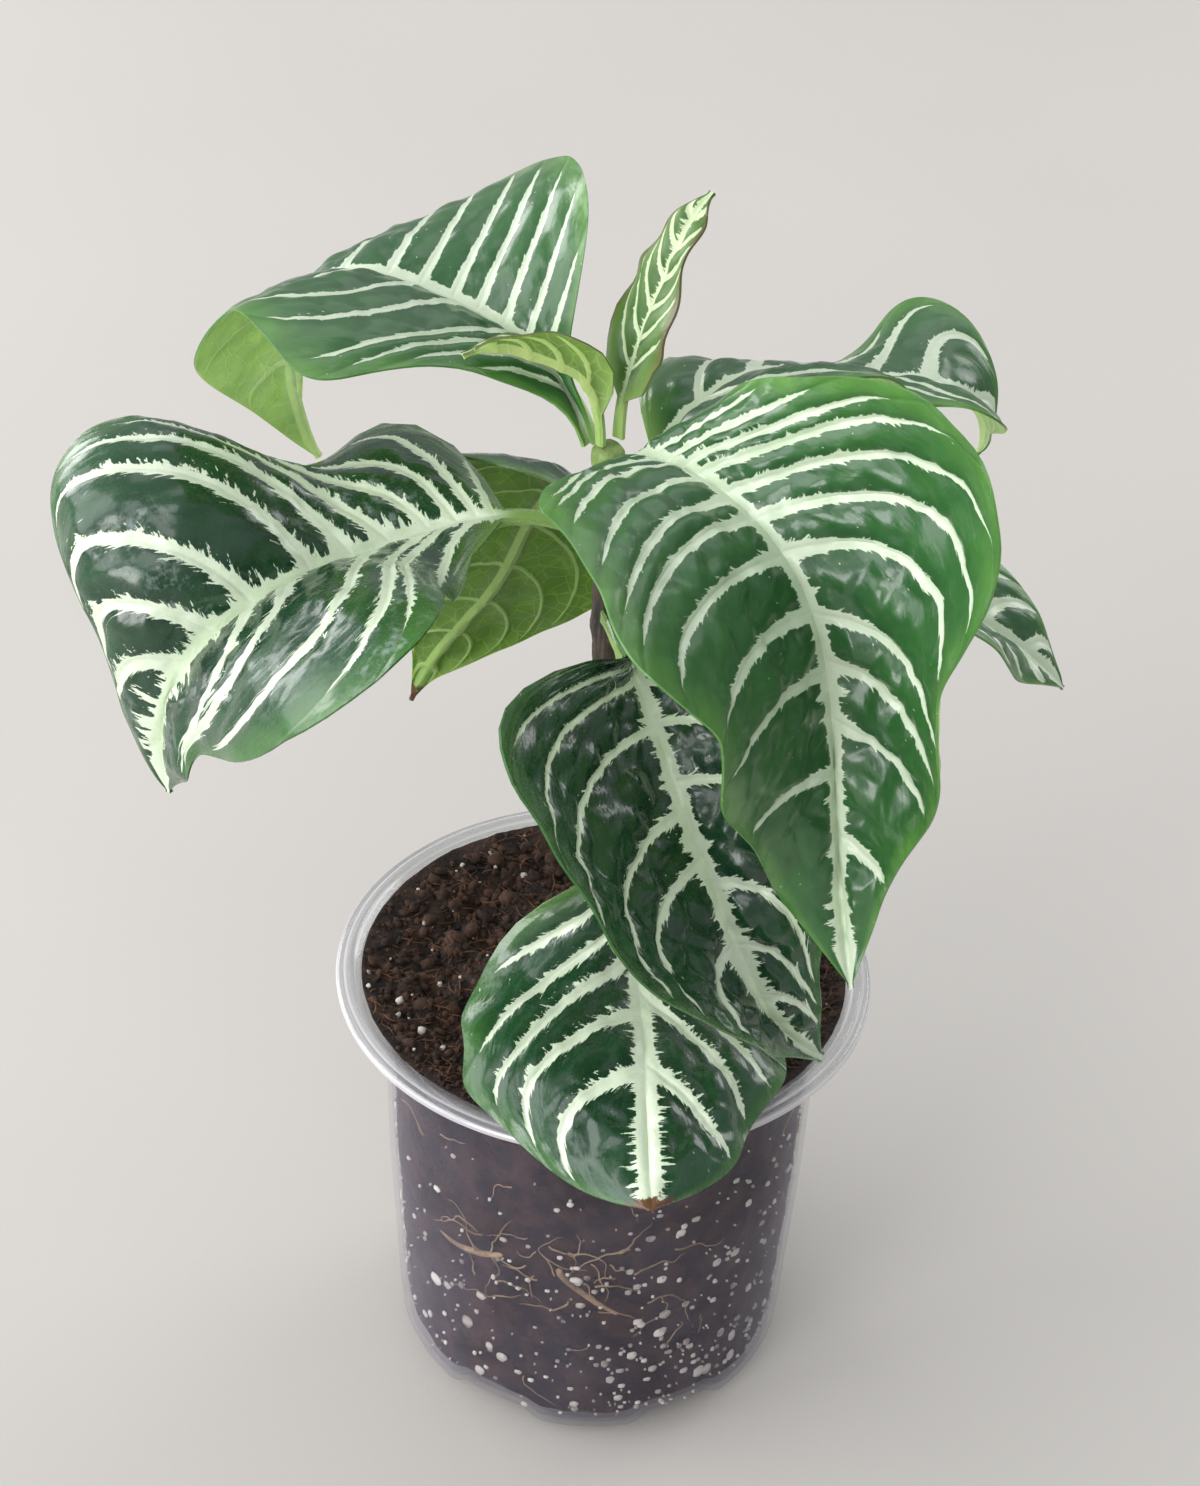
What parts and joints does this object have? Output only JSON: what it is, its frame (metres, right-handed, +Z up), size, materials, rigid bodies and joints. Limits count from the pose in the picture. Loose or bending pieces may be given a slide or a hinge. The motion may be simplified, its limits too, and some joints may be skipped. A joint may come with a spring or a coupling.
{
  "type": "potted zebra plant",
  "caption": "Young zebra plant with large drooping dark green leaves striped by cream veins, on one upright stem in a clear flared-rim nursery pot of soil.",
  "frame": {"origin": "centre of the pot's base, on the surface it stands on", "axes": "+Z up along the pot's axis, -Y towards the front of the plant, +X to the right seen from the front"},
  "size_m": [0.22, 0.165, 0.2942],
  "materials": {
    "pot": "clear, slightly milky",
    "soil": "dark crumbly peat mix",
    "stem": "dark bark, green at the top",
    "roots": "tan",
    "leaf_dark": "glossy dark green with cream veins",
    "leaf_green": "glossy green with cream veins",
    "leaf_young": "glossy yellow green"
  },
  "bodies": {
    "root": {"pot": "pot", "soil": "soil", "stem": "stem", "roots": "roots", "leaf_back_left": "leaf_green", "leaf_front_right": "leaf_green", "leaf_left": "leaf_dark", "leaf_right_back": "leaf_green", "leaf_front": "leaf_dark", "leaf_back_left_low": "leaf_green", "leaf_over_rim": "leaf_dark", "leaf_right_low": "leaf_green", "young_leaf_upright": "leaf_young", "young_leaf_folded": "leaf_young"}
  },
  "joints": []
}
